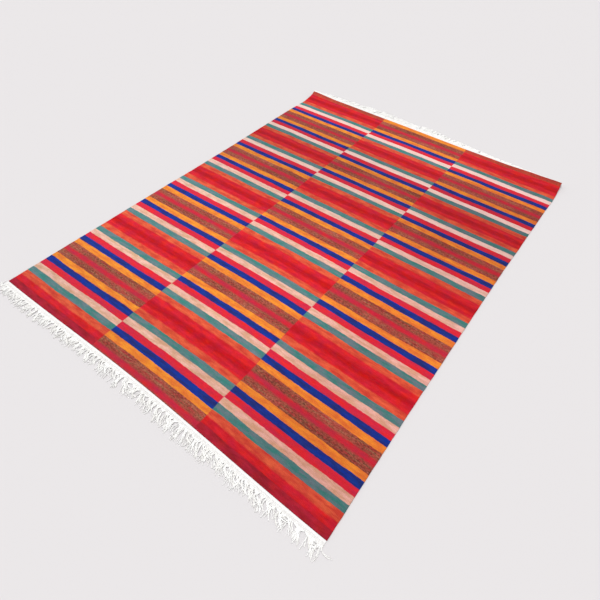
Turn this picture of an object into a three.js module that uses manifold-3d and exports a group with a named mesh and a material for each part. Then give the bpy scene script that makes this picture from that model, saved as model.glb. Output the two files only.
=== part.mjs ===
// A flat-woven striped rug lying on a floor, with a white heading and a knotted fringe at each end.
// Millimetres. X runs across the width, Y from the near end to the far end, Z up, the floor at Z = 0.
import * as THREE from 'three';
import { mergeVertices } from 'three/addons/utils/BufferGeometryUtils.js';
import Module from 'manifold-3d';

// Driving sizes of the cloth
const fieldWidth = 1830;
const fieldLength = 2450;
const fieldThickness = 4;
const bandDepth = 11;
const bandThickness = 3;
const knotRowDepth = 9;
const knotRowThickness = 4.6;
const tasselLength = 68;
const tasselThickness = 3;
const tasselRootWidth = 8;
const tasselTipWidth = 13;
const tasselCount = 76;
const clearance = 0.3;

// How the far end lifts off the floor, and how its fringe comes down again
const curlLength = 150;
const fallLength = 60;

// How far mid width is drawn towards the far end: at the near end, and past where that evens out
const nearBow = 16;
const farBow = 3;
const bowFadeStart = 950;
const bowFadeEnd = 1400;

// How fine the faceted surfaces are
const clothColumns = 19;
const flatRows = 26;
const curlRows = 13;
const tasselRows = 3;

// Where the two selvedges stand out to the right of straight lines, for sections along the rug
const selvedges = [
  { along: 0, left: -6, right: -6 },
  { along: 300, left: -4, right: -8 },
  { along: 600, left: -1, right: -9 },
  { along: 900, left: 1, right: -7 },
  { along: 1200, left: 6, right: -6 },
  { along: 1500, left: 7, right: -4 },
  { along: 1800, left: 4, right: 3 },
  { along: 2100, left: 2, right: 8 },
  { along: 2300, left: 7, right: 14 },
  { along: 2400, left: 4, right: 9 },
  { along: 2450, left: -1, right: 5 },
];

// How high the far edge stands off the floor, across the rug from its left selvedge to its right one
const farEdgeRise = [
  { across: 0, rise: 24 },
  { across: 0.12, rise: 15 },
  { across: 0.35, rise: 12 },
  { across: 0.65, rise: 8 },
  { across: 0.88, rise: 10 },
  { across: 1, rise: 16 },
];

// How far the tassels' tips sweep to the right, across the near fringe and the far one
const fringeSweep = [
  { across: 0, near: -26, far: -8 },
  { across: 0.08, near: -8, far: 4 },
  { across: 0.3, near: 2, far: 6 },
  { across: 0.55, near: 14, far: -5 },
  { across: 0.8, near: 24, far: 3 },
  { across: 1, near: 20, far: 8 },
];

// The value of one named column of a table at a place between its rows, eased from row to row.
function between(table, placeName, valueName, place) {
  const last = table.length - 1;
  if (place <= table[0][placeName]) return table[0][valueName];
  if (place >= table[last][placeName]) return table[last][valueName];
  const next = table.findIndex((row) => row[placeName] > place);
  const before = table[next - 1];
  const after = table[next];
  const share = (place - before[placeName]) / (after[placeName] - before[placeName]);
  const eased = THREE.MathUtils.smoothstep(share, 0, 1);
  return THREE.MathUtils.lerp(before[valueName], after[valueName], eased);
}

// How far a row of weft is drawn towards the far end, greatest at mid width.
function bowAt(across, along) {
  const fade = THREE.MathUtils.smoothstep(along, bowFadeStart, bowFadeEnd);
  const depth = THREE.MathUtils.lerp(nearBow, farBow, fade);
  return depth * Math.sin(Math.PI * across) ** 2;
}

// Height of the underside: flat, then a soft upward curl to the far edge, then down again as fringe.
function heightAt(across, along) {
  const rise = between(farEdgeRise, 'across', 'rise', across);
  const curlStart = fieldLength - curlLength;
  if (along <= curlStart) return 0;
  if (along <= fieldLength) return rise * ((along - curlStart) / curlLength) ** 2;
  const t = Math.min((along - fieldLength) / fallLength, 1);
  const edgeSlope = (2 * rise) / curlLength;
  const fall = rise * (2 * t ** 3 - 3 * t ** 2 + 1);
  const carry = edgeSlope * fallLength * (t ** 3 - 2 * t ** 2 + t);
  return fall + carry;
}

// How much shorter the curled cloth is in plan than along its own surface.
function foreshorteningAt(across, along) {
  const rise = between(farEdgeRise, 'across', 'rise', across);
  const t = THREE.MathUtils.clamp((along - fieldLength + curlLength) / curlLength, 0, 1);
  return ((2 / 3) * rise ** 2 * t ** 3) / curlLength;
}

// Where a point of the cloth's underside lies. across is 0 at the left selvedge and 1 at the right one,
// along is the distance on the cloth from the near end of the field, and aside moves the point along X.
function lie(across, along, aside = 0) {
  const left = -fieldWidth / 2 + between(selvedges, 'along', 'left', along);
  const right = fieldWidth / 2 + between(selvedges, 'along', 'right', along);
  const x = THREE.MathUtils.lerp(left, right, across) + aside;
  const y = along - fieldLength / 2 + bowAt(across, along) - foreshorteningAt(across, along);
  return new THREE.Vector3(x, y, heightAt(across, along));
}

// A closed slab whose points are placed by a function of three shares from 0 to 1:
// u across, v along and w through the thickness.
function slab(columns, rows, place) {
  const box = new THREE.BoxGeometry(1, 1, 1, columns, rows, 1);
  box.deleteAttribute('normal');
  box.deleteAttribute('uv');
  const geometry = mergeVertices(box);
  const points = geometry.getAttribute('position');
  for (let i = 0; i < points.count; i += 1) {
    const placed = place(points.getX(i) + 0.5, points.getY(i) + 0.5, points.getZ(i) + 0.5);
    points.setXYZ(i, placed.x, placed.y, placed.z);
  }
  return geometry;
}

// The woven field: even rows where it lies flat and closer ones where it curls.
function fieldGeometry() {
  const rows = flatRows + curlRows;
  const flatLength = fieldLength - curlLength;
  return slab(clothColumns, rows, (u, v, w) => {
    const row = v * rows;
    const flat = Math.min(row / flatRows, 1) * flatLength;
    const curled = Math.max((row - flatRows) / curlRows, 0) * curlLength;
    const point = lie(u, flat + curled);
    point.z += w * fieldThickness;
    return point;
  });
}

// A strip of the full width that lies beyond the near end (side -1) or the far end (side 1) of the field.
function endStrip(side, start, depth, thickness) {
  return slab(clothColumns, 1, (u, v, w) => {
    const inward = side > 0 ? v : 1 - v;
    const beyond = start + depth * inward;
    const point = lie(u, side > 0 ? fieldLength + beyond : -beyond);
    point.z += w * thickness;
    return point;
  });
}

// One tassel of the fringe: it leaves the knot row at its own place, leans aside and widens to its tip.
function tassel(side, index, start) {
  const across = (index + 0.5) / tasselCount;
  const sweep = between(fringeSweep, 'across', side > 0 ? 'far' : 'near', across);
  const lean = sweep + 7 * Math.sin(2.4 * index) + 4 * Math.sin(5.1 * index + side);
  const reach = tasselLength * (0.87 + 0.13 * Math.sin(1.7 * index + side));
  const embedded = 3;
  const lift = 0.2;
  return slab(1, tasselRows, (u, v, w) => {
    const share = side > 0 ? v : 1 - v;
    const beyond = start - embedded + (reach + embedded) * share;
    const width = THREE.MathUtils.lerp(tasselRootWidth, tasselTipWidth, share);
    const aside = (u - 0.5) * width + lean * share ** 2;
    const point = lie(across, side > 0 ? fieldLength + beyond : -beyond, aside);
    point.z += lift + w * tasselThickness;
    return point;
  });
}

const wasm = await Module();
wasm.setup();

function toSolid(geometry) {
  return new wasm.Manifold(
    new wasm.Mesh({
      numProp: 3,
      vertProperties: new Float32Array(geometry.getAttribute('position').array),
      triVerts: new Uint32Array(geometry.getIndex().array),
    }),
  );
}

function toGeometry(solid) {
  const mesh = solid.getMesh();
  const geometry = new THREE.BufferGeometry();
  geometry.setAttribute('position', new THREE.BufferAttribute(mesh.vertProperties, 3));
  geometry.setIndex(new THREE.BufferAttribute(mesh.triVerts, 1));
  return geometry;
}

// The whole fringe of one end: its knot row as the comb's back, and every tassel joined to it.
function fringeGeometry(side) {
  const start = bandDepth + 2 * clearance;
  let comb = toSolid(endStrip(side, start, knotRowDepth, knotRowThickness));
  for (let index = 0; index < tasselCount; index += 1) {
    comb = comb.add(toSolid(tassel(side, index, start + knotRowDepth)));
  }
  return toGeometry(comb);
}

function bandGeometry(side) {
  return endStrip(side, clearance, bandDepth, bandThickness);
}

// Finishes of the wool field and of the undyed cotton
const wool = { color: 0xc8403f, roughness: 0.92, metalness: 0 };
const cotton = { color: 0xf2f0ea, roughness: 0.9, metalness: 0 };

function piece(name, geometry, finish) {
  geometry.computeVertexNormals();
  const mesh = new THREE.Mesh(geometry, new THREE.MeshStandardMaterial(finish));
  mesh.name = name;
  return mesh;
}

const rug = new THREE.Group();
rug.name = 'striped_rug';
rug.add(piece('rug_field', fieldGeometry(), wool));
rug.add(piece('end_band_near', bandGeometry(-1), cotton));
rug.add(piece('end_band_far', bandGeometry(1), cotton));
rug.add(piece('fringe_near', fringeGeometry(-1), cotton));
rug.add(piece('fringe_far', fringeGeometry(1), cotton));

export default rug;
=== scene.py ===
import math

import bpy
import numpy as np
from mathutils import Matrix, Vector


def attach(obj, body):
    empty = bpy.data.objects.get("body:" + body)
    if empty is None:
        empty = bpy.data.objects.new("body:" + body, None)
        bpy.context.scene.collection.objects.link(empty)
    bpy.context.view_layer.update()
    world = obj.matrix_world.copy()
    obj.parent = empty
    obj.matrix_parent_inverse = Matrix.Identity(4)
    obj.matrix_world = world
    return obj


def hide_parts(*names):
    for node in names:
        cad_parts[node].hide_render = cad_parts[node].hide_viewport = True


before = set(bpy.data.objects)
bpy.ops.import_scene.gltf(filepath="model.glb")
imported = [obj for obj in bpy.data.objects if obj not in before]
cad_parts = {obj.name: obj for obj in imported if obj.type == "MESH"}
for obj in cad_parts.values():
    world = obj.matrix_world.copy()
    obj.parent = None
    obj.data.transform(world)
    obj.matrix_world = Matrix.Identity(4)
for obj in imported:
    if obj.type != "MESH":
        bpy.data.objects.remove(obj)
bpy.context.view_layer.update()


def table(columns, *rows):
    """Rows of numbers under named columns, as one array for each column."""
    return {name: np.array(column) for name, column in zip(columns.split(), zip(*rows))}


# A flat-woven striped rug on a pale floor, with a white heading and a knotted fringe at each end.
# Metres. X runs across the width, Y from the near end to the far end, Z up, the floor at Z = 0.

# Sizes of the cloth
FIELD_WIDTH = 1.830
FIELD_LENGTH = 2.450
FIELD_THICKNESS = 0.004
CLEARANCE = 0.0003
BAND_DEPTH = 0.011
BAND_THICKNESS = 0.003
KNOT_ROW_DEPTH = 0.009
KNOT_ROW_THICKNESS = 0.0046
TASSEL_LENGTH = 0.068
TASSEL_COUNT = 76
TASSEL_START = BAND_DEPTH + 2 * CLEARANCE + KNOT_ROW_DEPTH

# How far from its far end the cloth starts to lift off the floor
CURL_LENGTH = 0.150

# How far mid width is drawn towards the far end: at the near end, and past where that evens out
NEAR_BOW = 0.016
FAR_BOW = 0.003
BOW_FADE_START = 0.950
BOW_FADE_END = 1.400

# Where the two selvedges stand out to the right of straight lines, for sections along the rug
SELVEDGES = table(
    "along left right",
    (0.000, -0.006, -0.006),
    (0.300, -0.004, -0.008),
    (0.600, -0.001, -0.009),
    (0.900, 0.001, -0.007),
    (1.200, 0.006, -0.006),
    (1.500, 0.007, -0.004),
    (1.800, 0.004, 0.003),
    (2.100, 0.002, 0.008),
    (2.300, 0.007, 0.014),
    (2.400, 0.004, 0.009),
    (2.450, -0.001, 0.005),
)

# How high the far edge stands off the floor, and how far beyond it the fringe is down on the floor again,
# across the rug from its left selvedge to its right one
FAR_EDGE = table(
    "across rise fall",
    (0.00, 0.024, 0.060),
    (0.12, 0.015, 0.060),
    (0.35, 0.012, 0.060),
    (0.65, 0.008, 0.060),
    (0.80, 0.010, 0.046),
    (0.92, 0.019, 0.032),
    (1.00, 0.024, 0.030),
)

# How far the tassels' tips sweep to the right, across the near fringe and the far one
FRINGE_SWEEP = table(
    "across near far",
    (0.00, -0.026, -0.008),
    (0.08, -0.008, 0.004),
    (0.30, 0.002, 0.006),
    (0.55, 0.014, -0.005),
    (0.80, 0.024, 0.003),
    (1.00, 0.020, 0.008),
)

# How long the loose yarn is, as a share of the tassels' length, and how high the far one bunches up
FRINGE_FULLNESS = table(
    "across near far bunch",
    (0.00, 0.74, 0.60, 0.001),
    (0.08, 0.80, 0.92, 0.002),
    (0.18, 0.82, 1.04, 0.004),
    (0.25, 0.80, 1.26, 0.003),
    (0.33, 0.84, 1.28, 0.004),
    (0.42, 0.90, 0.98, 0.003),
    (0.50, 0.95, 1.24, 0.004),
    (0.62, 1.05, 0.78, 0.003),
    (0.78, 0.96, 0.44, 0.001),
    (0.90, 0.92, 0.34, 0.000),
    (1.00, 0.88, 0.34, 0.000),
)

# How far the woven stripes stray towards the far end, beside what the bow gives
STRIPE_STRAY = table(
    "along left middle right",
    (0.000, 0.000, 0.000, 0.001),
    (0.160, -0.001, -0.002, 0.003),
    (0.460, -0.006, -0.009, -0.007),
    (0.750, -0.003, -0.009, -0.009),
    (1.050, -0.005, -0.006, 0.000),
    (1.340, 0.002, 0.002, 0.006),
    (1.640, -0.001, 0.004, 0.005),
    (1.930, 0.005, -0.003, -0.004),
    (2.450, 0.000, 0.000, 0.000),
)

# The stripes: 75 of one width, in three columns; the middle column runs half a repeat ahead
STRIPE_COUNT = 75
STRIPE_WIDTH = FIELD_LENGTH / STRIPE_COUNT
COLUMN_WIDTH = FIELD_WIDTH / 3
HALF_REPEAT = 9

# Half a repeat of colours, mirrored to make the whole one. Each stripe is spun from two shades of its
# colour. soft is how much of a stripe's width the change from the stripe before takes up.
STRIPE_COLOURS = [
    {"name": "dark red", "srgb": (200, 12, 28), "shade": (180, 14, 31), "soft": 0.0},
    {"name": "red", "srgb": (224, 34, 45), "shade": (202, 26, 43), "soft": 0.42},
    {"name": "orange", "srgb": (232, 98, 64), "shade": (208, 70, 50), "soft": 0.22},
    {"name": "teal", "srgb": (62, 132, 124), "shade": (106, 128, 134), "soft": 0.05},
    {"name": "pink", "srgb": (239, 187, 170), "shade": (216, 166, 134), "soft": 0.05},
    {"name": "rose", "srgb": (228, 37, 54), "shade": (208, 42, 69), "soft": 0.05},
    {"name": "blue", "srgb": (12, 54, 154), "shade": (30, 44, 116), "soft": 0.05},
    {"name": "amber", "srgb": (244, 148, 48), "shade": (230, 122, 50), "soft": 0.05},
    {"name": "brown", "srgb": (160, 80, 62), "shade": (150, 78, 60), "soft": 0.06},
    {"name": "crimson", "srgb": (208, 36, 54), "shade": (188, 44, 66), "soft": 0.40},
]
BROWN_FROM = 7.5
BROWN_TO = 8.5

# How light or dark the wool is, as shares: of the whole colour along the rug, and of its red, green and blue
# across it. Both are partly uneven dye and partly painted light and shade: across the rug, the darker, deeper
# right side is painted shade and the paler green and blue on the left are a painted sheen.
TONE_AND_PAINTED_SHADE_ALONG = [
    (0.06, 0.95), (0.18, 1.07), (0.42, 1.10), (0.54, 0.98), (0.66, 0.89), (0.78, 0.84), (0.91, 1.04)
]
TONE_AND_PAINTED_LIGHT_ACROSS = [
    (0.00, (1.00, 1.05, 1.07)),
    (0.40, (1.00, 1.00, 1.00)),
    (0.60, (1.00, 0.98, 0.99)),
    (0.85, (0.90, 0.78, 0.81)),
    (1.00, (0.90, 0.78, 0.81)),
]

# The brown stripes are spun from olive and russet wool, whose flecks run from dark to light. The outer
# columns start with a deeper red and end in rust. Each row is a place on a ramp and its colour.
OLIVE = [(0.05, (88, 60, 44)), (0.40, (140, 88, 62)), (0.62, (162, 102, 76)), (0.95, (188, 124, 100))]
RUSSET = [(0.05, (110, 44, 38)), (0.40, (154, 58, 50)), (0.62, (176, 62, 58)), (0.95, (198, 76, 72))]
RUST = [(0.15, (150, 68, 46)), (0.75, (202, 72, 56))]
DEEP_RED = [(0.0, (152, 26, 40)), (1.0, (190, 34, 58))]
FAR_PALE = (250, 226, 224)
PALE_HAIR = (236, 206, 196)

# How much each cause adds to the flecks of the brown wool, and to how light or dark all the wool is
FLECK_BY = {"clumps": 1.85, "patches": 0.9, "plies": 1.2, "floats": 0.20}
VALUE_BY = {"dye": 0.24, "cloud": 0.26, "slubs": 0.28, "floats": 0.12}
VALUE_BASE = 0.85
HUE_BY_CLOUD = 0.020

# How far the stripes waver along the rug and the columns across it, and how far the columns interlock
STRIPE_WAVER_SLOW = 0.0080
STRIPE_WAVER_QUICK = 0.0042
COLUMN_WAVER = 0.014
COLUMN_TEETH = 0.0020

# The weave: wool weft beaten down over cotton warp, so each float spans one warp cord. The unevenness is a
# share of one cord or float, and the lower the fullness, the flatter its top.
WARP_PITCH = 0.0050
FLOAT_LENGTH = 0.0022
HEADING_FLOAT_LENGTH = 0.0018
WARP_UNEVENNESS = 0.7
FLOAT_UNEVENNESS = 1.6
CORD_FULLNESS = 0.7
FLOAT_FULLNESS = 0.5

# The grains of the materials: how fine each is along the weft and along the warp, for each metre, and how
# many octaves it has. Those of the yarn run round it and along it.
GRAIN = {
    "warp_waver": (45.0, 14.0, 2.0),
    "float_wander": (38.0, 60.0, 2.0),
    "slow_waver": (6.0, 24.0, 1.0),
    "quick_waver": (60.0, 60.0, 1.0),
    "column_waver": (1.0, 5.0, 2.0),
    "streaks": (14.0, 55.0, 3.0),
    "clumps": (90.0, 190.0, 3.0),
    "patches": (3.5, 14.0, 1.0),
    "plies": (260.0, 900.0, 2.0),
    "blend": (22.0, 110.0, 3.0),
    "dye": (5.0, 60.0, 2.0),
    "cloud": (20.0, 26.0, 2.0),
    "slubs": (45.0, 170.0, 2.0),
    "hairs": (34.0, 120.0, 3.0),
    "wool_fuzz": (1500.0, 2600.0, 2.0),
    "heading_shade": (40.0, 90.0, 1.0),
    "heading_fuzz": (1800.0, 2600.0, 2.0),
    "yarn_shade": (1.0, 90.0, 1.0),
    "yarn_fuzz": (12.0, 900.0, 1.0),
}

# The finish of each material, by the name of the shader's socket
FINISH = {
    "wool": {"Roughness": 0.92, "Specular IOR Level": 0.12, "Sheen Weight": 0.03, "Sheen Roughness": 0.45},
    "cotton": {"Roughness": 0.9, "Specular IOR Level": 0.25, "Sheen Weight": 0.1},
    "floor": {"Roughness": 0.8, "Specular IOR Level": 0.2},
}

# The rims of the cloth: how far in from them it thins out, and the thicker cord inside each selvedge
SELVEDGE_ROUNDING = 0.0026
HEADING_SIDE_ROUNDING = 0.0015
END_ROUNDING = 0.0010
CORD_HEIGHT = 0.0004
CORD_PLACE = 0.0030
CORD_WIDTH = 0.0025
HEADING_RIB = 0.0003

# The small waver of the selvedges, and how it drifts in and out of step
EDGE_WAVER = {"reach": 0.0004, "length": 0.094, "drift": 0.3, "drift_length": 0.37}

# The shallow waves in which the cloth stands off the floor, and how far in from its rims they are full
BROAD_WAVE = {"height": 0.0007, "width": 0.46, "width_start": 0.30, "length": 0.71, "length_start": 0.10}
CROSS_WAVES = [
    {"height": 0.00040, "length": 0.190, "drift": 0.35, "drift_width": 1.10, "drift_start": 0.0},
    {"height": 0.00022, "length": 0.083, "drift": 0.50, "drift_width": 0.62, "drift_start": 1.0},
]
WAVES_FROM_END = 0.05
WAVES_FROM_SIDE = 0.12

# The loose ends of each end: how many yarns a tassel has and how thick they are, how short the shortest
# is, how much they fan out, bend, wave and stray, how much higher than the lowest the top ones lie, and
# how far a tassel is drawn together
FRINGE_YARN = {
    "near": {
        "yarns": 12, "rings": 15, "radius": 0.00118, "shortest": 0.62, "fan": 0.30, "bend": 0.60,
        "stray": 0.14, "wave": (0.012, 0.020), "layers": 0.0036, "drawn": 1.0,
    },
    "far": {
        "yarns": 20, "rings": 8, "radius": 0.00140, "shortest": 0.86, "fan": 0.08, "bend": 0.22,
        "stray": 0.05, "wave": (0.034, 0.055), "layers": 0.0022, "drawn": 0.4,
    },
}

# What the tassels of both ends share. Spreads, the waist's distance from the hitches and the swing are in
# metres, turns in radians and lowest in the yarn's radii. The rest are shares of the tassel's width or of
# the yarn's length.
TASSEL = {
    "start_spread": 0.0003, "waist_spread": 0.004, "waist_from_hitches": 0.009,
    "drawn_tight": (0.6, 0.9), "drawn_loose": (0.1, 0.45), "opening_turn": (0.12, 0.45),
    "stray_turn": 0.9, "longest": 1.04, "evening": 1.06, "swing": (0.0003, 0.0015), "lowest": 1.3,
}

# The yarn: a tube of two plies, whose oval section turns once in each length of PLY_TURN
YARN_SIDES = 5
PLY_TURN = 0.0085
PLY_OVALNESS = 0.20
YARN_UNEVENNESS = (0.85, 1.15)
TIP_TAPER = 0.5

# The hitches: slanting beans, a little larger than their share of the row, each a little different
HITCH_PITCH = 0.0060
HITCH_HALF_WIDTH = 0.60 * HITCH_PITCH
HITCH_HALF_LENGTH = 0.56 * KNOT_ROW_DEPTH
HITCH_UNEVENNESS = (0.92, 1.08)
HITCH_BEND = 0.30
HITCH_SLANT = 0.45
HITCH_SLANT_SPREAD = 0.07
HITCH_PLACE_SPREAD = 0.0004

# The lowest that a point of the field or of a hitch may lie
LOWEST = 0.0001

# On the yarn's map each yarn has one unit of width, of which its turn takes a share and its tip a part of
# that. The hitches come after the yarns, from a number that no yarn has.
TURN_SHARE = 0.9
TURN_MIDDLE = TURN_SHARE / 2
TIP_SHARE = 0.2
HITCHES_FROM = 2000

# Names of the maps on the meshes: places on the flat cloth in metres, and the layout for a baked image
CLOTH_MAP = "FlatCloth"
YARN_MAP = "YarnLength"
BAKE_MAP = "OFBake"

# The camera: its place, its angles in degrees, and its lens in pixels of the square picture
CAMERA_PLACE = (1.0266, -1.5893, 1.6162)
CAMERA_AZIMUTH = 35.42
CAMERA_DOWN = 49.55
CAMERA_ROLL = -2.16
FOCAL_PIXELS = 456.6
PICTURE_PIXELS = 600
SENSOR_WIDTH = 36.0

# The light of the studio: from the horizon, from straight above, and from the lamp
HORIZON_LIGHT = 0.90
ZENITH_LIGHT = 0.48
LIGHT_COLOUR = (1.0, 0.998, 0.996, 1.0)
LAMP_STRENGTH = 1.94
LAMP_SPREAD = 30
LAMP_FROM = (-0.22, 0.14, 1.0)
FLOOR_COLOUR = (215, 212, 213)


def eased(share):
    share = np.clip(share, 0, 1)
    return share * share * (3 - 2 * share)


def between(rows, place_name, value_name, place):
    """The value of one named column of a table at places between its rows, eased from row to row."""
    places, values = rows[place_name], rows[value_name]
    place = np.clip(place, places[0], places[-1])
    row = np.clip(np.searchsorted(places, place, side="right") - 1, 0, len(places) - 2)
    share = (place - places[row]) / (places[row + 1] - places[row])
    return values[row] + (values[row + 1] - values[row]) * eased(share)


def bow_at(across, along):
    """How far a row of weft is drawn towards the far end, greatest at mid width."""
    fade = eased((along - BOW_FADE_START) / (BOW_FADE_END - BOW_FADE_START))
    return (NEAR_BOW + (FAR_BOW - NEAR_BOW) * fade) * np.sin(math.pi * across) ** 2


def height_at(across, along):
    """Height of the underside: flat, then a soft upward curl to the far edge, then down again as fringe."""
    rise = between(FAR_EDGE, "across", "rise", across)
    fall_length = between(FAR_EDGE, "across", "fall", across)
    curled = rise * np.clip((along - FIELD_LENGTH + CURL_LENGTH) / CURL_LENGTH, 0, 1) ** 2
    t = np.clip((along - FIELD_LENGTH) / fall_length, 0, 1)
    fall = rise * (2 * t**3 - 3 * t**2 + 1)
    carry = 2 * rise / CURL_LENGTH * fall_length * (t**3 - 2 * t**2 + t)
    return np.where(along <= FIELD_LENGTH, curled, fall + carry)


def foreshortening_at(across, along):
    """How much shorter the curled cloth is in plan than along its own surface."""
    rise = between(FAR_EDGE, "across", "rise", across)
    t = np.clip((along - FIELD_LENGTH + CURL_LENGTH) / CURL_LENGTH, 0, 1)
    return 2 / 3 * rise**2 * t**3 / CURL_LENGTH


def lie(across, along, aside=0.0):
    """Where a point of the cloth's underside lies. across is 0 at the left selvedge and 1 at the right
    one, along is the distance on the cloth from the field's near end, and aside moves it along X."""
    across, along, aside = np.broadcast_arrays(
        np.asarray(across, float), np.asarray(along, float), np.asarray(aside, float)
    )
    left = -FIELD_WIDTH / 2 + between(SELVEDGES, "along", "left", along)
    right = FIELD_WIDTH / 2 + between(SELVEDGES, "along", "right", along)
    x = left + (right - left) * across + aside
    y = along - FIELD_LENGTH / 2 + bow_at(across, along) - foreshortening_at(across, along)
    return np.stack([x, y, height_at(across, along)], -1)


def stripe_stray(across, along):
    """How far the stripes at a place of the field lie towards the far end of where they should."""
    sides = ("left", "middle", "right")
    left, middle, right = (between(STRIPE_STRAY, "along", side, along) for side in sides)
    first = left + (middle - left) * eased(across * 2)
    second = middle + (right - middle) * eased(across * 2 - 1)
    return np.where(across < 0.5, first, second)


def ripple(x, y):
    """How far the cloth stands off the floor in soft shallow waves, from place to place."""
    over_width = np.sin(2 * math.pi * (x / BROAD_WAVE["width"] + BROAD_WAVE["width_start"]))
    over_length = np.sin(2 * math.pi * (y / BROAD_WAVE["length"] + BROAD_WAVE["length_start"]))
    height = BROAD_WAVE["height"] * (1 + over_width * over_length)
    for wave in CROSS_WAVES:
        drift = wave["drift"] * np.sin(2 * math.pi * x / wave["drift_width"] + wave["drift_start"])
        height = height + wave["height"] * (1 + np.sin(2 * math.pi * (y / wave["length"] + drift)))
    return height


# Helpers for meshes


def stage_object(name, mesh):
    thing = bpy.data.objects.new(name, mesh)
    bpy.context.scene.collection.objects.link(thing)
    return thing


def make_piece(name, points, faces, maps, material):
    """An object from its points, its faces, and for each map the places of all face corners in order."""
    mesh = bpy.data.meshes.new(name)
    mesh.from_pydata(np.asarray(points).tolist(), [], faces)
    for map_name, places in maps.items():
        layer = mesh.uv_layers.new(name=map_name)
        layer.uv.foreach_set("vector", np.asarray(places, np.float32).ravel())
    mesh.polygons.foreach_set("use_smooth", [True] * len(mesh.polygons))
    mesh.materials.append(material)
    mesh.update()
    return stage_object(name, mesh)


def quads_of(rows):
    """The quads between neighbouring rows and columns of a grid of point numbers."""
    return np.stack([rows[:-1, :-1], rows[:-1, 1:], rows[1:, 1:], rows[1:, :-1]], -1).reshape(-1, 4)


def closed_sheet(name, across, beyond, top, bottom, cloth_places, material):
    """A closed sheet of two layers that share their rim. top and bottom are grids of points, across and
    beyond the places of their columns and rows from 0 to 1, and cloth_places those on the flat cloth."""
    count = top.shape[0] * top.shape[1]
    upper = np.arange(count).reshape(top.shape[:2])
    lower = upper.copy()
    inner = bottom[1:-1, 1:-1]
    lower[1:-1, 1:-1] = count + np.arange(inner.shape[0] * inner.shape[1]).reshape(inner.shape[:2])
    points = np.concatenate([top.reshape(-1, 3), inner.reshape(-1, 3)])
    sheet_faces = quads_of(np.arange(count).reshape(top.shape[:2]))
    faces = np.concatenate([quads_of(upper), quads_of(lower)[:, ::-1]])
    on_cloth = cloth_places.reshape(-1, 2)
    cloth_corners = np.concatenate([on_cloth[sheet_faces], on_cloth[sheet_faces[:, ::-1]]])
    shares = np.stack(np.meshgrid(across, beyond), -1).reshape(-1, 2)
    margin = 0.01
    half_page = np.array([0.5 - 2 * margin, 1 - 2 * margin])
    page = margin + shares * half_page
    baked = np.concatenate([page[sheet_faces], (page + [0.5, 0])[sheet_faces[:, ::-1]]])
    maps = {CLOTH_MAP: cloth_corners, BAKE_MAP: baked}
    return make_piece(name, points, faces.tolist(), maps, material)


def stepped(length, edge_steps, pitch):
    """Places from 0 to a length: close together at both edges, and even in between."""
    edge = np.array(edge_steps)
    inner = length - 2 * edge[-1]
    count = max(int(round(inner / pitch)), 1)
    middle = edge[-1] + np.linspace(0, inner, count + 1)[1:-1]
    return np.concatenate([edge, middle, length - edge[::-1]])


def rounded(distance, radius):
    """How full the cloth is at a distance from its rim: nothing at the rim, all from the radius on."""
    share = np.clip(distance / radius, 0, 1)
    return np.sqrt(1 - (1 - share) ** 2)


# Helpers for materials


def linear(srgb):
    """A colour of 0 to 255 numbers as the renderer's own numbers, with a 1 for opaque."""
    shares = np.array(srgb) / 255
    return (*np.where(shares <= 0.04045, shares / 12.92, ((shares + 0.055) / 1.055) ** 2.4), 1.0)


def colour_stops(rows):
    """The stops of a ramp, from rows of a place and a colour of 0 to 255 numbers."""
    return [(place, linear(srgb)) for place, srgb in rows]


def share_stops(rows):
    """The stops of a ramp that gives back shares, from rows of a place and its red, green and blue share."""
    return [(place, (*shares, 1.0)) for place, shares in rows]


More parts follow.
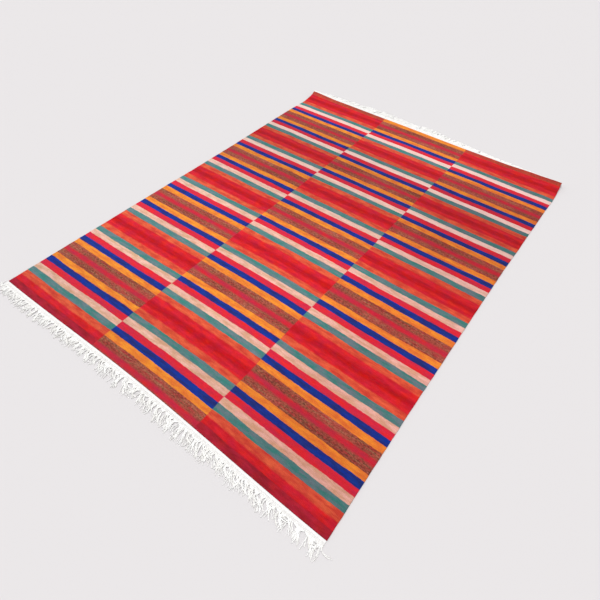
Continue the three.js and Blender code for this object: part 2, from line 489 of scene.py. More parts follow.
class NodeMaker:
    """Adds nodes to a material. Each method returns the new node's output."""

    def __init__(self, material):
        material.use_nodes = True
        self.tree = material.node_tree
        self.shader = self.tree.nodes["Principled BSDF"]

    def put(self, socket, value):
        if isinstance(value, bpy.types.NodeSocket):
            self.tree.links.new(value, socket)
        else:
            socket.default_value = value

    def math(self, operation, *values):
        node = self.tree.nodes.new("ShaderNodeMath")
        node.operation = operation
        for socket, value in zip(node.inputs, values):
            self.put(socket, value)
        return node.outputs[0]

    def total(self, first, *others):
        for other in others:
            first = self.math("ADD", first, other)
        return first

    def times(self, first, second):
        return self.math("MULTIPLY", first, second)

    def weighted(self, base, weights, **causes):
        """A base number and all the causes, each multiplied by its weight."""
        for name, cause in causes.items():
            base = self.total(base, self.times(cause, weights[name]))
        return base

    def place(self, map_name):
        """The two places on a map, as two outputs."""
        node = self.tree.nodes.new("ShaderNodeUVMap")
        node.uv_map = map_name
        split = self.tree.nodes.new("ShaderNodeSeparateXYZ")
        self.put(split.inputs[0], node.outputs[0])
        return split.outputs[0], split.outputs[1]

    def point(self, x, y, x_scale=1.0, y_scale=1.0):
        join = self.tree.nodes.new("ShaderNodeCombineXYZ")
        self.put(join.inputs[0], self.times(x, x_scale))
        self.put(join.inputs[1], self.times(y, y_scale))
        return join.outputs[0]

    def grain(self, name, x, y):
        """Soft noise about 0, nearly all of it from -0.5 to 0.5, as fine as the table of grains says."""
        x_scale, y_scale, detail = GRAIN[name]
        node = self.tree.nodes.new("ShaderNodeTexNoise")
        self.put(node.inputs["Vector"], self.point(x, y, x_scale, y_scale))
        node.inputs["Scale"].default_value = 1.0
        node.inputs["Detail"].default_value = detail
        return self.math("SUBTRACT", node.outputs["Fac"], 0.5)

    def chance(self, point):
        """A random number from 0 to 1 for each place."""
        node = self.tree.nodes.new("ShaderNodeTexWhiteNoise")
        node.noise_dimensions = "2D"
        self.put(node.inputs["Vector"], point)
        return node.outputs["Value"]

    def remap(self, value, low, high, new_low, new_high):
        node = self.tree.nodes.new("ShaderNodeMapRange")
        for socket, number in zip(node.inputs, (value, low, high, new_low, new_high)):
            self.put(socket, number)
        return node.outputs[0]

    def ramp(self, value, stops, interpolation="LINEAR"):
        """A colour looked up in a list of (place, colour) stops."""
        node = self.tree.nodes.new("ShaderNodeValToRGB")
        node.color_ramp.interpolation = interpolation
        elements = node.color_ramp.elements
        elements[0].position, elements[0].color = stops[0]
        elements[1].position, elements[1].color = stops[-1]
        for place, colour in stops[1:-1]:
            elements.new(place).color = colour
        self.put(node.inputs[0], value)
        return node.outputs[0]

    def mix(self, share, first, second):
        node = self.tree.nodes.new("ShaderNodeMix")
        node.data_type = "RGBA"
        self.put(node.inputs["Factor"], share)
        self.put(node.inputs[6], first)
        self.put(node.inputs[7], second)
        return node.outputs[2]

    def multiplied(self, colour, shares):
        """A colour whose red, green and blue are each multiplied by a share."""
        node = self.tree.nodes.new("ShaderNodeMix")
        node.data_type = "RGBA"
        node.blend_type = "MULTIPLY"
        self.put(node.inputs["Factor"], 1.0)
        self.put(node.inputs[6], colour)
        self.put(node.inputs[7], shares)
        return node.outputs[2]

    def shifted(self, colour, hue, value):
        """A colour with its value multiplied, and its hue turned where hue isn't 0.5."""
        node = self.tree.nodes.new("ShaderNodeHueSaturation")
        self.put(node.inputs["Hue"], hue)
        self.put(node.inputs["Value"], value)
        self.put(node.inputs["Color"], colour)
        return node.outputs[0]

    def bump(self, height, distance, strength):
        node = self.tree.nodes.new("ShaderNodeBump")
        node.inputs["Strength"].default_value = strength
        node.inputs["Distance"].default_value = distance
        self.put(node.inputs["Height"], height)
        return node.outputs[0]

    def finish(self, name):
        for socket, value in FINISH[name].items():
            self.shader.inputs[socket].default_value = value


def weave(make, u, v, warp_pitch, float_length):
    """A weft-faced plain weave: rows of floats that each span one warp cord, offset on every second cord.
    Returns the relief from 0 to 1, and the column and row of the float at each place."""
    waver = make.times(make.grain("warp_waver", u, v), WARP_UNEVENNESS)
    column_place = make.total(make.math("DIVIDE", u, warp_pitch), waver)
    column = make.math("FLOOR", column_place)
    odd = make.math("MODULO", column, 2.0)
    wander = make.times(make.grain("float_wander", u, v), FLOAT_UNEVENNESS)
    row_place = make.total(make.math("DIVIDE", v, float_length), make.times(odd, 0.5), wander)
    row = make.math("FLOOR", row_place)
    over_cord = make.math("SINE", make.times(make.math("FRACT", column_place), math.pi))
    over_float = make.math("SINE", make.times(make.math("FRACT", row_place), math.pi))
    cord_top = make.math("POWER", over_cord, CORD_FULLNESS)
    float_top = make.math("POWER", over_float, FLOAT_FULLNESS)
    return make.times(cord_top, float_top), column, row


def stripe_stops(shade):
    """The stops of a ramp over half a repeat, in one of the two shades of each stripe."""
    stops = [(0.0, linear(STRIPE_COLOURS[0][shade]))]
    for number in range(1, len(STRIPE_COLOURS)):
        before, after = STRIPE_COLOURS[number - 1], STRIPE_COLOURS[number]
        for side, colour in ((-0.5, before), (0.5, after)):
            place = number - 0.5 + side * after["soft"]
            stops.append((place / HALF_REPEAT, linear(colour[shade])))
    stops.append((1.0, linear(STRIPE_COLOURS[-1][shade])))
    return stops


def stripe_at(make, u, v, row):
    """Which stripe a place is in, with the small waver of hand weaving. Returns its number within half a
    repeat, how many stripes it is from the near end, and 1 in the middle column or 0 in the others."""
    slow = make.times(make.grain("slow_waver", u, v), STRIPE_WAVER_SLOW)
    quick = make.times(make.grain("quick_waver", u, v), STRIPE_WAVER_QUICK)
    from_near = make.math("DIVIDE", make.total(v, slow, quick), STRIPE_WIDTH)
    sideways = make.times(make.grain("column_waver", u, v), COLUMN_WAVER)
    teeth = make.times(make.math("PINGPONG", row, 1.0), COLUMN_TEETH)
    column_place = make.math("DIVIDE", make.total(u, sideways, teeth), COLUMN_WIDTH)
    from_middle = make.math("ABSOLUTE", make.math("SUBTRACT", column_place, 1.5))
    in_middle = make.math("LESS_THAN", from_middle, 0.5)
    ahead = make.times(in_middle, HALF_REPEAT)
    stripe = make.math("PINGPONG", make.total(from_near, ahead, -0.5), float(HALF_REPEAT))
    return stripe, from_near, in_middle


def spun_colour(make, stripe, streaks):
    """The colour of each stripe, spun from two shades that come and go along the yarn in streaks."""
    stripe_share = make.math("DIVIDE", stripe, float(HALF_REPEAT))
    first_shade = make.ramp(stripe_share, stripe_stops("srgb"))
    second_shade = make.ramp(stripe_share, stripe_stops("shade"))
    return make.mix(make.remap(streaks, -0.12, 0.12, 0.0, 1.0), first_shade, second_shade)


def flecks_at(make, u, v, clumps, by_float):
    """How light or dark the flecks of the spun wool are, mostly from 0 to 1."""
    patches, plies = make.grain("patches", u, v), make.grain("plies", u, v)
    floats = make.math("SUBTRACT", by_float, 0.5)
    return make.weighted(0.5, FLECK_BY, clumps=clumps, patches=patches, plies=plies, floats=floats)


def with_brown(make, u, v, stripe, clumps, fleck, colour):
    """A colour with the marled brown stripes laid over it. They fray where they meet crimson."""
    sharp, fray, clump_fray = 0.02, 0.25, 0.9
    blend = make.remap(make.grain("blend", u, v), -0.15, 0.15, 0.0, 1.0)
    marl = make.mix(blend, make.ramp(fleck, colour_stops(OLIVE)), make.ramp(fleck, colour_stops(RUSSET)))
    enters = make.remap(stripe, BROWN_FROM - sharp, BROWN_FROM + sharp, 0.0, 1.0)
    frayed = make.total(stripe, make.times(clumps, clump_fray))
    leaves = make.remap(frayed, BROWN_TO - fray, BROWN_TO + fray, 1.0, 0.0)
    return make.mix(make.times(enters, leaves), colour, marl)


def with_end_stripes(make, from_near, in_middle, streaks, fleck, colour):
    """A colour with the end stripes of the outer columns laid over it: rust at the far end, and a deeper,
    duller red at the near one."""
    in_outer = make.math("SUBTRACT", 1.0, in_middle)
    is_last = make.math("GREATER_THAN", from_near, STRIPE_COUNT - 1.0)
    rust = make.ramp(fleck, colour_stops(RUST))
    colour = make.mix(make.times(is_last, in_outer), colour, rust)
    is_first = make.math("LESS_THAN", from_near, 1.0)
    deep = make.ramp(make.remap(streaks, -0.18, 0.18, 0.0, 1.0), colour_stops(DEEP_RED))
    return make.mix(make.times(is_first, in_outer), colour, deep)


def with_uneven_dye_and_painted_light(make, u, v, by_float, dye, colour):
    """A colour as the dye has taken: uneven along the yarn, with thin and thick places, and lighter and
    darker single floats. Its broad areas that are lighter or darker are partly the dye and partly painted
    light and shade."""
    cloud, slubs = make.grain("cloud", u, v), make.grain("slubs", u, v)
    hue = make.total(0.5, make.times(cloud, HUE_BY_CLOUD))
    value = make.weighted(VALUE_BASE, VALUE_BY, dye=dye, cloud=cloud, slubs=slubs, floats=by_float)
    colour = make.shifted(colour, hue, value)
    # Broad shares along and across the rug: partly uneven dye and partly painted light, with painted shade on
    # the right side and a painted sheen on the left.
    along_tone_and_shade_stops = share_stops([(place, (share, share, share)) for place, share in TONE_AND_PAINTED_SHADE_ALONG])
    colour = make.multiplied(colour, make.ramp(make.math("DIVIDE", v, FIELD_LENGTH), along_tone_and_shade_stops, "EASE"))
    across_tone_and_light_stops = share_stops(TONE_AND_PAINTED_LIGHT_ACROSS)
    return make.multiplied(colour, make.ramp(make.math("DIVIDE", u, FIELD_WIDTH), across_tone_and_light_stops, "EASE"))


def with_pale_parts(make, u, v, stripe, colour):
    """A colour whose pink stripes grow paler towards the far end, with pale hairs that the weft has picked
    up, more in some places than in others."""
    paler_from, paler_to, palest, most_hair = 0.9, 2.2, 0.5, 0.010
    pink = [row["name"] for row in STRIPE_COLOURS].index("pink")
    is_pink = make.math("LESS_THAN", make.math("ABSOLUTE", make.math("SUBTRACT", stripe, float(pink))), 0.5)
    paler = make.times(is_pink, make.remap(v, paler_from, paler_to, 0.0, palest))
    colour = make.mix(paler, colour, linear(FAR_PALE))
    hair_share = make.remap(make.grain("hairs", u, v), -0.15, 0.25, 0.0, most_hair)
    return make.mix(hair_share, colour, linear(PALE_HAIR))


def wool_material():
    """Striped wool: the colours of the stripes, the marled brown, and the weave in relief, with painted shade
    darkening the colour in the weave's furrows.
    """
    shade_relief_floor, shade_relief_top, painted_shade_darkest = 0.0, 0.55, 0.78
    material = bpy.data.materials.new("striped_wool")
    make = NodeMaker(material)
    u, v = make.place(CLOTH_MAP)
    relief, column, row = weave(make, u, v, WARP_PITCH, FLOAT_LENGTH)
    by_float = make.chance(make.point(column, row))
    streaks = make.grain("streaks", u, v)
    clumps = make.grain("clumps", u, v)
    dye = make.grain("dye", u, v)
    fleck = flecks_at(make, u, v, clumps, by_float)

    stripe, from_near, in_middle = stripe_at(make, u, v, row)
    colour = spun_colour(make, stripe, streaks)
    colour = with_brown(make, u, v, stripe, clumps, fleck, colour)
    colour = with_end_stripes(make, from_near, in_middle, streaks, fleck, colour)
    colour = with_uneven_dye_and_painted_light(make, u, v, by_float, dye, colour)
    colour = with_pale_parts(make, u, v, stripe, colour)
    # Painted shade: the colour darkens in the furrows between the floats, down to 0.78 where the relief is
    # lowest.
    painted_furrow_shade = make.remap(relief, shade_relief_floor, shade_relief_top, painted_shade_darkest, 1.0)
    make.put(make.shader.inputs["Base Color"], make.shifted(colour, 0.5, painted_furrow_shade))

    fuzz = make.times(make.grain("wool_fuzz", u, v), 0.35)
    height = make.total(relief, fuzz, make.times(dye, 0.5))
    make.put(make.shader.inputs["Normal"], make.bump(height, distance=0.0006, strength=0.7))
    make.finish("wool")
    return material


def band_material():
    """The undyed cotton of the headings, in a close plain weave, painted a darker white than the loose yarn
    of the same cotton for the shade in the weave.
    """
    material = bpy.data.materials.new("heading_cotton")
    make = NodeMaker(material)
    u, v = make.place(CLOTH_MAP)
    relief, column, row = weave(make, u, v, WARP_PITCH, HEADING_FLOAT_LENGTH)
    by_float = make.chance(make.point(column, row))
    shade = make.total(by_float, make.times(make.grain("heading_shade", u, v), 0.8))
    # Painted shade: the heading is a darker white than the fringe's yarn of the same cotton.
    colour = make.ramp(shade, colour_stops([(0.0, (232, 230, 229)), (1.0, (243, 242, 241))]))
    make.put(make.shader.inputs["Base Color"], colour)
    height = make.total(relief, make.times(make.grain("heading_fuzz", u, v), 0.3))
    make.put(make.shader.inputs["Normal"], make.bump(height, distance=0.0004, strength=0.6))
    make.finish("cotton")
    return material


def yarn_material():
    """Loose cotton yarn. Its map counts yarns and turns round them one way, and metres the other."""
    plies, strands_in_metre = 2.0, 420.0
    material = bpy.data.materials.new("fringe_cotton")
    make = NodeMaker(material)
    around, length = make.place(YARN_MAP)
    by_yarn = make.chance(make.point(make.math("FLOOR", around), 0.0))
    soft = make.times(make.grain("yarn_shade", around, length), 0.8)
    shade = make.total(by_yarn, soft)
    yarn_stops = colour_stops([(0.0, (244, 242, 238)), (0.5, (251, 250, 248)), (1.0, (254, 254, 253))])
    # Painted shade: the hitches are the loose yarn's own cotton, given a darker white.
    shaded_hitch_stops = colour_stops([(0.0, (226, 224, 222)), (1.0, (240, 239, 237))])
    is_hitch = make.math("GREATER_THAN", around, float(HITCHES_FROM))
    colour = make.mix(is_hitch, make.ramp(shade, yarn_stops), make.ramp(shade, shaded_hitch_stops))
    make.put(make.shader.inputs["Base Color"], colour)
    turns = make.total(make.times(around, plies), make.times(length, strands_in_metre))
    strands = make.math("SINE", make.times(turns, 2 * math.pi))
    height = make.total(strands, make.grain("yarn_fuzz", around, length))
    make.put(make.shader.inputs["Normal"], make.bump(height, distance=0.0002, strength=0.5))
    make.finish("cotton")
    return material


def floor_material():
    material = bpy.data.materials.new("pale_floor")
    make = NodeMaker(material)
    make.shader.inputs["Base Color"].default_value = linear(FLOOR_COLOUR)
    make.finish("floor")
    return material


# The pieces


def make_field(material):
    """The woven field: two layers joined at a rounded rim, with a slightly thicker cord at each selvedge."""
    side_steps = (0.0, 0.0005, 0.0013, 0.0026, 0.0045, 0.0075)
    end_steps = (0.0, 0.0004, 0.0010, 0.0030)
    pitch = 0.0122
    x_places = stepped(FIELD_WIDTH, side_steps, pitch)
    y_places = stepped(FIELD_LENGTH, end_steps, pitch)
    x, y = np.meshgrid(x_places, y_places)
    across = x / FIELD_WIDTH
    from_side = np.minimum(x, FIELD_WIDTH - x)
    from_end = np.minimum(y, FIELD_LENGTH - y)
    full = np.minimum(rounded(from_side, SELVEDGE_ROUNDING), rounded(from_end, END_ROUNDING))
    cord = CORD_HEIGHT * np.exp(-(((from_side - CORD_PLACE) / CORD_WIDTH) ** 2))
    drift = EDGE_WAVER["drift"] * np.sin(2 * math.pi * y / EDGE_WAVER["drift_length"])
    waver = EDGE_WAVER["reach"] * np.sin(2 * math.pi * (y / EDGE_WAVER["length"] + drift))
    only_at_selvedges = (2 * across - 1) ** 9
    sideways = waver * only_at_selvedges
    underside = lie(across, y, sideways)
    lift = ripple(x, y) * rounded(from_end, WAVES_FROM_END) * rounded(from_side, WAVES_FROM_SIDE) ** 2
    middle = underside[..., 2] + lift + FIELD_THICKNESS / 2
    half = FIELD_THICKNESS / 2 * full
    top, bottom = underside.copy(), underside.copy()
    top[..., 2] = middle + half + cord * full
    bottom[..., 2] = np.maximum(middle - half, LOWEST)
    places = np.stack([x, y - stripe_stray(across, y)], -1)
    return closed_sheet("rug_cloth", across[0], y_places / FIELD_LENGTH, top, bottom, places, material)


def make_band(name, side, material):
    """The heading of one end: a narrow ribbed strip of white weave beside the field."""
    x_places = stepped(FIELD_WIDTH, (0.0, 0.0006, 0.0015), WARP_PITCH / 4)
    beyond = np.array([0.0, 0.0006, 0.0020, 0.0045, 0.0070, 0.0094, 0.0104, BAND_DEPTH])
    x, d = np.meshgrid(x_places, beyond)
    across = x / FIELD_WIDTH
    along = FIELD_LENGTH + CLEARANCE + d if side > 0 else -CLEARANCE - d
    from_side = np.minimum(x, FIELD_WIDTH - x)
    from_edge = np.minimum(d, BAND_DEPTH - d)
    full = np.minimum(rounded(from_side, HEADING_SIDE_ROUNDING), rounded(from_edge, END_ROUNDING))
    rib = HEADING_RIB * np.abs(np.sin(math.pi * x / WARP_PITCH))
    underside = lie(across, along)
    middle = underside[..., 2] + BAND_THICKNESS / 2
    half = BAND_THICKNESS / 2 * full
    top, bottom = underside.copy(), underside.copy()
    top[..., 2] = middle + half + rib * full
    bottom[..., 2] = middle - half
    places = np.stack([x, along], -1)
    if side < 0:
        top, bottom, places = top[::-1], bottom[::-1], places[::-1]
    return closed_sheet(name, across[0], beyond / BAND_DEPTH, top, bottom, places, material)


def tassel_starts(side):
    """For each tassel its place across, how far its tip leans aside and how far it reaches."""
    index = np.arange(TASSEL_COUNT)
    across = (index + 0.5) / TASSEL_COUNT
    sweep = between(FRINGE_SWEEP, "across", "far" if side > 0 else "near", across)
    lean = sweep + 0.007 * np.sin(2.4 * index) + 0.004 * np.sin(5.1 * index + side)
    reach = TASSEL_LENGTH * (0.87 + 0.13 * np.sin(1.7 * index + side))
    return across, lean, reach


def yarn_paths(side, chance):
    """The middle lines of all the yarns of one fringe, as (yarn, ring, XYZ). Each comes out of the heading,
    runs under the hitches, is drawn into its tassel and then lies loose beyond it."""
    end = "far" if side > 0 else "near"
    kind = FRINGE_YARN[end]
    yarns, held_rings, free_rings, radius = kind["yarns"], 3, kind["rings"], kind["radius"]
    across, lean, reach = tassel_starts(side)
    shape = (TASSEL_COUNT, yarns)
    pitch = FIELD_WIDTH / TASSEL_COUNT
    order = (np.arange(yarns) + 0.5) / yarns - 0.5
    start_aside = order * pitch + chance.normal(0, TASSEL["start_spread"], shape)
    tassel_row = np.arange(TASSEL_COUNT)[:, None]

    # Under the hitches
    held = np.linspace(BAND_DEPTH + CLEARANCE, TASSEL_START, held_rings, endpoint=False)
    held_beyond = np.broadcast_to(held, (*shape, held_rings))
    held_aside = np.broadcast_to(start_aside[..., None], held_beyond.shape)
    held_up = np.full(held_beyond.shape, KNOT_ROW_THICKNESS / 2)

    # Loose beyond them: each yarn turns aside bit by bit as it goes
    t = np.linspace(0, 1, free_rings)
    fullness = between(FRINGE_FULLNESS, "across", end, across)[:, None]
    each = (TASSEL_COUNT, 1)
    length = TASSEL_LENGTH * fullness * chance.uniform(kind["shortest"], TASSEL["longest"], shape)
    length = length * chance.uniform(kind["shortest"], 1.0, each) ** 0.5 * TASSEL["evening"]
    tight = chance.random(each) < 0.5
    drawn_tight = chance.uniform(*TASSEL["drawn_tight"], each)
    drawn_loose = chance.uniform(*TASSEL["drawn_loose"], each)
    drawn_in = kind["drawn"] * np.where(tight, drawn_tight, drawn_loose)
    waist = chance.normal(0, TASSEL["waist_spread"], each) + start_aside * (1 - drawn_in)
    opened = 2 * order * chance.uniform(*TASSEL["opening_turn"], each)
    lock = np.arange(yarns) * 4 // yarns
    lock_fan = chance.normal(0, kind["fan"], (TASSEL_COUNT, 4))[:, lock]
    lock_bend = chance.normal(0, kind["bend"], (TASSEL_COUNT, 4))[:, lock]
    fan = opened + lock_fan + chance.normal(0, kind["fan"] / 3, shape)
    is_stray = chance.random(shape) < kind["stray"]
    stray = np.where(is_stray, chance.normal(0, TASSEL["stray_turn"], shape), 0.0)
    bend = lock_bend + chance.normal(0, 0.36 * kind["bend"], shape) + stray
    leaning = (2 * lean / reach)[:, None] + chance.normal(0, kind["fan"], each)
    turning = leaning[..., None] * eased(t * 1.4) + bend[..., None] * t**1.5
    angle = fan[..., None] * eased(t * 5) * (1 - 0.5 * t) + turning
    step = (length / (free_rings - 1))[..., None]
    run = np.cumsum(step * np.cos(angle), -1) - step * np.cos(angle[..., :1])
    drift = np.cumsum(step * np.sin(angle), -1) - step * np.sin(angle[..., :1])
    wave = chance.uniform(*kind["wave"], shape)[..., None]
    phase = chance.uniform(0, 2 * math.pi, shape)[..., None]
    swing = 2 * math.pi * length[..., None] * t / wave + phase
    amount = chance.uniform(*TASSEL["swing"], shape)[..., None] * eased(t * 3)
    drawing = eased(length[..., None] * t / TASSEL["waist_from_hitches"])
    free_aside = start_aside[..., None] + (waist - start_aside)[..., None] * drawing + drift
    free_aside = free_aside + np.sin(swing) * amount
    free_beyond = TASSEL_START + run

    # How high it lies: out of the row, over and under its neighbours, and down to its tip
    bunch = between(FRINGE_FULLNESS, "across", "bunch", across)[:, None] if side > 0 else 0.0
    layer = np.sqrt(chance.random(shape))
    over = layer * (kind["layers"] + bunch)
    arch = over[..., None] * np.sin(math.pi * np.clip(t * 1.1, 0, 1)) ** 0.8
    out_of_row = (KNOT_ROW_THICKNESS / 2 - radius) * (1 - eased(t * 4))
    lowest = radius * TASSEL["lowest"]
    free_up = lowest + out_of_row + arch + np.cos(swing) * amount * 0.5

    beyond = np.concatenate([held_beyond, free_beyond], -1)
    aside = np.concatenate([held_aside, free_aside], -1)
    up = np.concatenate([held_up, free_up], -1)
    along = FIELD_LENGTH + beyond if side > 0 else -beyond
    paths = lie(across[tassel_row][..., None], along, aside)
    paths[..., 2] += np.maximum(up, lowest)
    return paths.reshape(-1, held_rings + free_rings, 3)


def tubes(paths, radius, chance):
    """Yarn of two plies along each path: a tube whose slightly oval section turns as it goes. Returns its
    points as (yarn, ring, side, XYZ) and the length along the yarn at each ring."""
    rings = paths.shape[1]
    forward = np.gradient(paths, axis=1)
    forward /= np.linalg.norm(forward, axis=-1, keepdims=True)
    beside = np.cross(forward, [0.0, 0.0, 1.0])
    beside /= np.linalg.norm(beside, axis=-1, keepdims=True)
    upward = np.cross(beside, forward)
    steps = np.linalg.norm(np.diff(paths, axis=1), axis=-1)
    length = np.concatenate([np.zeros((len(paths), 1)), np.cumsum(steps, 1)], 1)
    turn = 2 * math.pi * length / PLY_TURN + chance.uniform(0, 2 * math.pi, (len(paths), 1))
    corner = 2 * math.pi * np.arange(YARN_SIDES) / YARN_SIDES
    thick = radius * chance.uniform(*YARN_UNEVENNESS, (len(paths), 1, 1))
    taper = 1 - TIP_TAPER * (np.arange(rings) == rings - 1)
    out = thick * taper[:, None] * (1 + PLY_OVALNESS * np.cos(2 * (corner - turn[..., None])))
    level = beside[:, :, None] * (out * np.cos(corner))[..., None]
    upright = upward[:, :, None] * (out * np.sin(corner))[..., None]
    return paths[:, :, None] + level + upright, length


def tube_faces(length, sides):
    """The faces of tubes with rings at the given lengths, and where their corners lie on the yarn's map:
    the yarn's number and the turn round it one way, and metres along it the other."""
    count, rings = length.shape
    number = np.arange(count * rings * sides).reshape(count, rings, sides)
    after = np.roll(number, -1, axis=2)
    walls = np.stack([number[:, :-1], after[:, :-1], after[:, 1:], number[:, 1:]], -1)
    caps = np.concatenate([number[:, 0, ::-1], number[:, -1]])

    round_share = TURN_SHARE / sides
    first = np.arange(count)[:, None, None] + np.arange(sides) * round_share + 0 * length[:, :-1, None]
    second = first + round_share
    low = np.broadcast_to(length[:, :-1, None], first.shape)
    high = np.broadcast_to(length[:, 1:, None], first.shape)
    corners = ((first, low), (second, low), (second, high), (first, high))
    wall_places = np.stack([np.stack(pair, -1) for pair in corners], -2).reshape(-1, 2)
    turn = 2 * math.pi * np.arange(sides) / sides
    middle = np.arange(count)[:, None] + TURN_MIDDLE
    tip_length = 0.0003
    cap_places = [
        np.stack([middle + TIP_SHARE * np.cos(turn), length[:, ring, None] + tip_length * np.sin(turn)], -1)
        for ring in (0, -1)
    ]
    places = np.concatenate([wall_places] + [cap.reshape(-1, 2) for cap in cap_places])
    return walls.reshape(-1, 4).tolist() + caps.tolist(), places


def page_cells(places, count, longest):
    """Places on the page of the baked image, where each yarn of the map has a cell of its own."""
    margin = 0.05
    wide = math.ceil(math.sqrt(count))
    which = np.floor(places[:, 0]).clip(0, count - 1)
    inside = np.stack([places[:, 0] - which, (places[:, 1] / longest).clip(0, 1)], -1)
    origin = np.stack([which % wide, which // wide], -1)
    return (origin + margin + (1 - 2 * margin) * inside) / wide


def lump_shape(around=10, levels=5):
    """One hitch about its own middle, in shares of its half sizes: a rounded bean, bent a little."""
    turn = 2 * math.pi * np.arange(around) / around
    tilt = math.pi * (np.arange(1, levels + 1) / (levels + 1) - 0.5)
    turn, tilt = np.meshgrid(turn, tilt)
    bent = HITCH_BEND * np.sin(1.3 * tilt)
    rings = np.stack([np.cos(tilt) * np.cos(turn) + bent, np.sin(tilt), np.cos(tilt) * np.sin(turn)], -1)
    tips = [[-HITCH_BEND, -1, 0], [HITCH_BEND, 1, 0]]
    number = np.arange(around * levels).reshape(levels, around)
    after = np.roll(number, -1, axis=1)
    low_tip, high_tip = around * levels, around * levels + 1
    faces = np.stack([number[:-1], number[1:], after[1:], after[:-1]], -1).reshape(-1, 4).tolist()
    faces += [[low_tip, number[0, i], after[0, i]] for i in range(around)]
    faces += [[high_tip, after[-1, i], number[-1, i]] for i in range(around)]
    return np.concatenate([rings.reshape(-1, 3), tips]), faces


def hitch_row(side, chance):
    """The row of slanting hitches beside one heading. Returns their points as (hitch, point, XYZ), the faces
    of one hitch and its shape."""
    form, faces = lump_shape()
    count = int(round(FIELD_WIDTH / HITCH_PITCH))
    across = (np.arange(count) + 0.5) / count
    beyond = TASSEL_START - KNOT_ROW_DEPTH / 2 + chance.normal(0, HITCH_PLACE_SPREAD, count)
    middle = lie(across, FIELD_LENGTH + beyond if side > 0 else -beyond)
    middle[:, 2] += KNOT_ROW_THICKNESS / 2
    half_sizes = np.array([HITCH_HALF_WIDTH, HITCH_HALF_LENGTH, KNOT_ROW_THICKNESS / 2])
    sized = form[None] * half_sizes * chance.uniform(*HITCH_UNEVENNESS, (count, 1, 3))
    slant = (HITCH_SLANT + chance.normal(0, HITCH_SLANT_SPREAD, count))[:, None]
    turned = np.stack(
        [
            sized[..., 0] * np.cos(slant) - sized[..., 1] * np.sin(slant),
            sized[..., 0] * np.sin(slant) + sized[..., 1] * np.cos(slant),
            sized[..., 2],
        ],
        -1,
    )
    points = middle[:, None] + turned
    points[..., 2] = np.maximum(points[..., 2], LOWEST)
    return points, faces, form


def make_fringe(name, side, seed, material):
    """The fringe of one end, as one mesh: its row of hitches and all its loose twisted yarns."""
    chance = np.random.default_rng(seed)
    radius = FRINGE_YARN["far" if side > 0 else "near"]["radius"]
    yarn_points, length = tubes(yarn_paths(side, chance), radius, chance)
    faces, places = tube_faces(length, YARN_SIDES)
    yarn_page_height, hitch_page_middle, hitch_page_half = 0.95, 0.97, 0.012
    page = page_cells(places, len(length), length.max()) * [1.0, yarn_page_height]

    hitches, hitch_faces, form = hitch_row(side, chance)
    first = yarn_points.size // 3
    spots = form[np.concatenate(hitch_faces)]
    number = np.arange(len(hitches))[:, None]
    hitch_turns = HITCHES_FROM + number + TURN_MIDDLE + TIP_SHARE * spots[:, 0]
    hitch_places = np.stack([hitch_turns, 0.004 * spots[:, 1] + 0 * number], -1)
    hitch_page_across = (number + 0.5 + 0.3 * spots[:, 0]) / len(hitches)
    hitch_page_up = hitch_page_middle + hitch_page_half * spots[:, 1] + 0 * number
    hitch_page = np.stack([hitch_page_across, hitch_page_up], -1)
    for hitch in range(len(hitches)):
        start = first + hitch * len(form)
        faces += [[start + corner for corner in face] for face in hitch_faces]
    maps = {
        YARN_MAP: np.concatenate([places, hitch_places.reshape(-1, 2)]),
        BAKE_MAP: np.concatenate([page, hitch_page.reshape(-1, 2)]),
    }
    points = np.concatenate([yarn_points.reshape(-1, 3), hitches.reshape(-1, 3)])
    return make_piece(name, points, faces, maps, material)


# The scene around the rug


def make_camera():
    """The camera at the photograph's place and angle, for a square picture."""
    azimuth, pitch, roll = (math.radians(angle) for angle in (CAMERA_AZIMUTH, CAMERA_DOWN, CAMERA_ROLL))
    level_share = math.cos(pitch)
    forward = Vector((-math.sin(azimuth) * level_share, math.cos(azimuth) * level_share, -math.sin(pitch)))
    level = Vector((math.cos(azimuth), math.sin(azimuth), 0))
    below = forward.cross(level)
    right = level * math.cos(roll) + below * math.sin(roll)
    down = below * math.cos(roll) - level * math.sin(roll)
    lens = bpy.data.cameras.new("camera")
    lens.sensor_fit = "HORIZONTAL"
    lens.sensor_width = SENSOR_WIDTH
    lens.lens = SENSOR_WIDTH * FOCAL_PIXELS / PICTURE_PIXELS
    camera = stage_object("camera", lens)
    turned = Matrix((right, -down, -forward)).transposed().to_4x4()
    turned.translation = Vector(CAMERA_PLACE)
    camera.matrix_world = turned
    bpy.context.scene.camera = camera


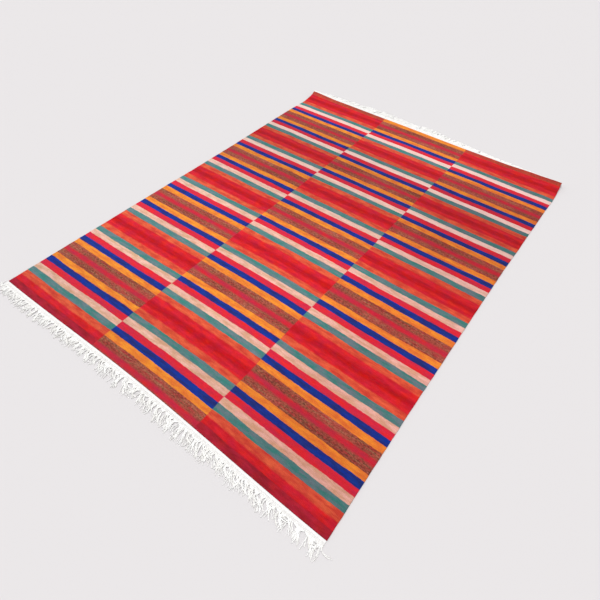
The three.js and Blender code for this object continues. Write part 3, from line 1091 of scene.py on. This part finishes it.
def make_world():
    """Even studio light from all round, a little weaker from straight above."""
    world = bpy.data.worlds.new("studio")
    bpy.context.scene.world = world
    world.use_nodes = True
    tree = world.node_tree
    direction = tree.nodes.new("ShaderNodeTexCoord")
    split = tree.nodes.new("ShaderNodeSeparateXYZ")
    fade = tree.nodes.new("ShaderNodeMapRange")
    tree.links.new(direction.outputs["Generated"], split.inputs[0])
    tree.links.new(split.outputs[2], fade.inputs[0])
    for socket, number in zip(fade.inputs[1:5], (0.0, 1.0, HORIZON_LIGHT, ZENITH_LIGHT)):
        socket.default_value = number
    background = tree.nodes["Background"]
    background.inputs[0].default_value = LIGHT_COLOUR
    tree.links.new(fade.outputs[0], background.inputs[1])


def make_lights():
    """One broad soft light from above, a little from the far left."""
    sun = bpy.data.lights.new("soft_sun", "SUN")
    sun.energy = LAMP_STRENGTH
    sun.angle = math.radians(LAMP_SPREAD)
    lamp = stage_object("soft_sun", sun)
    lamp.rotation_mode = "QUATERNION"
    lamp.rotation_quaternion = Vector(LAMP_FROM).to_track_quat("Z", "Y")


def make_floor():
    reach = 60.0
    drop = 0.0003
    mesh = bpy.data.meshes.new("floor")
    corners = [(-reach, -reach, -drop), (reach, -reach, -drop), (reach, reach, -drop), (-reach, reach, -drop)]
    mesh.from_pydata(corners, [], [(0, 1, 2, 3)])
    mesh.materials.append(floor_material())
    floor = stage_object("floor", mesh)


make_camera()
make_world()
make_lights()
make_floor()
bpy.context.scene.view_settings.view_transform = "Standard"

field = make_field(wool_material())
cotton = band_material()
near_band = make_band("heading_near", -1, cotton)
far_band = make_band("heading_far", 1, cotton)
yarn = yarn_material()
near_fringe = make_fringe("tassels_near", -1, 11, yarn)
far_fringe = make_fringe("tassels_far", 1, 12, yarn)

for piece, node, slot in (
    (field, "rug_field", "wool_field"),
    (near_band, "end_band_near", "cotton_band"),
    (far_band, "end_band_far", "cotton_band"),
    (near_fringe, "fringe_near", "cotton_fringe"),
    (far_fringe, "fringe_far", "cotton_fringe"),
):
    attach(piece, "root")
    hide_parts(node)
